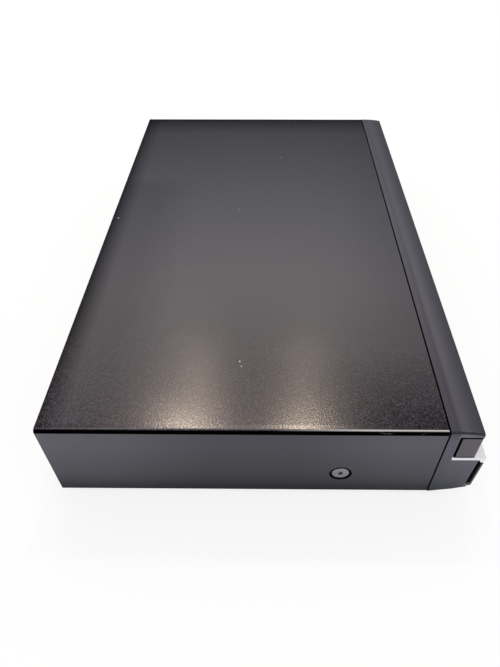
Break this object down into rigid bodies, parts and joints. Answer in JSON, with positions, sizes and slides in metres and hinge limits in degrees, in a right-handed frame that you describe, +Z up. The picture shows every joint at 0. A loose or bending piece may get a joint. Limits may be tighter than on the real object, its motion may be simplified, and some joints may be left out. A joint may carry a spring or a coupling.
{
  "type": "dvd hdd recorder",
  "caption": "Flat black set-top disc and hard disk recorder with a tray loader, a drop-down front flap over sockets, keys, a display window and rear sockets.",
  "frame": {"origin": "on the floor, under the middle of the outer box, rear sockets included", "axes": "+X to the right seen from the front, the front faces -Y, +Z up"},
  "size_m": [0.43, 0.283, 0.072],
  "materials": {
    "black_cover": "satin black powder paint with fine grain",
    "zinc_sheet": "bright zinc-plated sheet",
    "rear_sheet": "plain plated sheet",
    "foot_plastic": "matt black moulding",
    "foot_rubber": "grey-black rubber pad",
    "black_screw": "black zinc",
    "plain_screw": "zinc",
    "front_plastic": "fine textured charcoal moulding",
    "fascia_plastic": "smoked grey-brown half gloss",
    "ledge_metal": "satin silver",
    "flap_plastic": "satin black moulding",
    "window_tint": "dark tinted acrylic",
    "key_plastic": "half gloss grey",
    "board_green": "solder-masked fibreglass board",
    "part_black": "black moulding",
    "tube_glass": "display tube",
    "tray_plastic": "dark grey moulding",
    "loader_plastic": "black moulding",
    "gear_plastic": "natural acetal",
    "belt_rubber": "rubber belt",
    "motor_steel": "motor can",
    "rod_steel": "ground steel",
    "cast_alloy": "cast alloy",
    "disk_mirror": "polished disk",
    "copper_core": "ferrite core and winding",
    "capacitor": "sleeved can",
    "sink_alloy": "black anodised fins",
    "tin_can": "tinned can",
    "ribbon_grey": "grey flat cable"
  },
  "bodies": {
    "root": {"top_cover": "black_cover", "bottom_chassis": "zinc_sheet", "feet": "foot_plastic", "foot_pads": "foot_rubber", "side_screws": "black_screw", "panel_screws": "plain_screw", "rear_panel": "rear_sheet", "front_frame": "front_plastic", "upper_fascia": "fascia_plastic", "ledge_trim": "ledge_metal", "display_window": "window_tint", "front_board": "board_green", "front_switches": "part_black", "display_tube": "tube_glass", "front_jacks": "part_black", "loader_frame": "loader_plastic", "loader_lid": "zinc_sheet", "loading_motor": "motor_steel", "drive_belt": "belt_rubber", "drive_bracket": "zinc_sheet", "drive_board": "board_green", "hdd_base": "cast_alloy", "hdd_lid": "tin_can", "hdd_board": "board_green", "hdd_bracket": "zinc_sheet", "power_board": "board_green", "transformer": "copper_core", "power_capacitors": "capacitor", "heat_sinks": "sink_alloy", "mains_inlet": "part_black", "main_board": "board_green", "tuner_module": "tin_can", "scart_sockets": "part_black", "av_jacks": "part_black", "digital_sockets": "part_black", "fan_frame": "part_black", "drive_ribbon": "ribbon_grey"},
    "flap": {"flap_door": "flap_plastic"},
    "tray": {"disc_tray": "tray_plastic", "tray_front": "fascia_plastic"},
    "tray_gear": {"tray_gear": "gear_plastic"},
    "pulley_gear": {"pulley_gear": "gear_plastic"},
    "motor_pulley": {"motor_pulley": "gear_plastic"},
    "cam_slider": {"cam_slider": "gear_plastic"},
    "traverse": {"traverse": "loader_plastic", "spindle_motor": "motor_steel", "guide_rods": "rod_steel", "feed_motor": "motor_steel"},
    "turntable": {"turntable": "part_black"},
    "pickup": {"pickup": "cast_alloy"},
    "feed_screw": {"feed_screw": "rod_steel"},
    "clamper": {"clamper": "gear_plastic"},
    "platters": {"hdd_platters": "disk_mirror"},
    "disk_arm": {"hdd_arm": "cast_alloy"},
    "fan_rotor": {"fan_rotor": "part_black"},
    "power_key": {"power_button": "key_plastic"},
    "open_key": {"open_button": "key_plastic"},
    "stop_key": {"stop_button": "key_plastic"},
    "play_key": {"play_button": "key_plastic"},
    "record_key": {"record_button": "key_plastic"}
  },
  "joints": [
    {"name": "flap_hinge", "type": "hinge", "parent": "root", "child": "flap", "pos_m": [0, -0.1385, 0.0151], "axis": [1, 0, 0], "range_deg": [0, 90]},
    {"name": "tray_slide", "type": "slide", "parent": "root", "child": "tray", "axis": [0, -1, 0], "range_m": [0, 0.13509]},
    {"name": "tray_gear_spin", "type": "hinge", "parent": "root", "child": "tray_gear", "pos_m": [-0.126, -0.107, 0.044], "axis": [0, 0, 1], "range_deg": [0, 774.01]},
    {"name": "pulley_gear_spin", "type": "hinge", "parent": "root", "child": "pulley_gear", "pos_m": [-0.109, -0.107, 0.0405], "axis": [0, 0, 1], "range_deg": [-1105.72, 0]},
    {"name": "motor_pulley_spin", "type": "hinge", "parent": "root", "child": "motor_pulley", "pos_m": [-0.068, -0.107, 0.0405], "axis": [0, 0, 1], "range_deg": [-3410.59, 0]},
    {"name": "traverse_lift", "type": "hinge", "parent": "root", "child": "traverse", "pos_m": [-0.09, 0.04, 0.0435], "axis": [-1, 0, 0], "range_deg": [0, 4.4]},
    {"name": "cam_slide", "type": "slide", "parent": "root", "child": "cam_slider", "axis": [1, 0, 0], "range_m": [0, 0.01602]},
    {"name": "turntable_spin", "type": "hinge", "parent": "traverse", "child": "turntable", "pos_m": [-0.09, -0.0627, 0.045], "axis": [0, 0, 1], "continuous": true},
    {"name": "pickup_slide", "type": "slide", "parent": "traverse", "child": "pickup", "axis": [0, 1, 0], "range_m": [0, 0.033]},
    {"name": "feed_screw_spin", "type": "hinge", "parent": "traverse", "child": "feed_screw", "pos_m": [-0.053, 0.0118, 0.0435], "axis": [0, 1, 0], "range_deg": [0, 3960.01]},
    {"name": "clamper_spin", "type": "hinge", "parent": "root", "child": "clamper", "pos_m": [-0.09, -0.0627, 0.0631], "axis": [0, 0, 1], "continuous": true},
    {"name": "platter_spin", "type": "hinge", "parent": "root", "child": "platters", "pos_m": [0.15, -0.0455, 0.019], "axis": [0, 0, 1], "continuous": true},
    {"name": "arm_swing", "type": "hinge", "parent": "root", "child": "disk_arm", "pos_m": [0.126, 0.022, 0.023], "axis": [0, 0, 1], "range_deg": [0, 32]},
    {"name": "fan_spin", "type": "hinge", "parent": "root", "child": "fan_rotor", "pos_m": [0.165, 0.1272, 0.0395], "axis": [0, 1, 0], "continuous": true},
    {"name": "power_key_press", "type": "slide", "parent": "root", "child": "power_key", "axis": [0, 1, 0], "range_m": [0, 0.0008], "stiffness_N_per_m": 400, "springref_m": -0.0006},
    {"name": "open_key_press", "type": "slide", "parent": "root", "child": "open_key", "axis": [0, 1, 0], "range_m": [0, 0.0008], "stiffness_N_per_m": 400, "springref_m": -0.0006},
    {"name": "stop_key_press", "type": "slide", "parent": "root", "child": "stop_key", "axis": [0, 1, 0], "range_m": [0, 0.0008], "stiffness_N_per_m": 400, "springref_m": -0.0006},
    {"name": "play_key_press", "type": "slide", "parent": "root", "child": "play_key", "axis": [0, 1, 0], "range_m": [0, 0.0008], "stiffness_N_per_m": 400, "springref_m": -0.0006},
    {"name": "record_key_press", "type": "slide", "parent": "root", "child": "record_key", "axis": [0, 1, 0], "range_m": [0, 0.0008], "stiffness_N_per_m": 400, "springref_m": -0.0006}
  ],
  "couplings": [
    {"joint": "tray_gear_spin", "follows": "tray_slide", "rad_per_m": 100},
    {"joint": "pulley_gear_spin", "follows": "tray_slide", "rad_per_m": -142.86},
    {"joint": "motor_pulley_spin", "follows": "tray_slide", "rad_per_m": -440.64},
    {"joint": "cam_slide", "follows": "traverse_lift", "m_per_rad": 0.20819},
    {"joint": "feed_screw_spin", "follows": "pickup_slide", "rad_per_m": 2094.4}
  ]
}
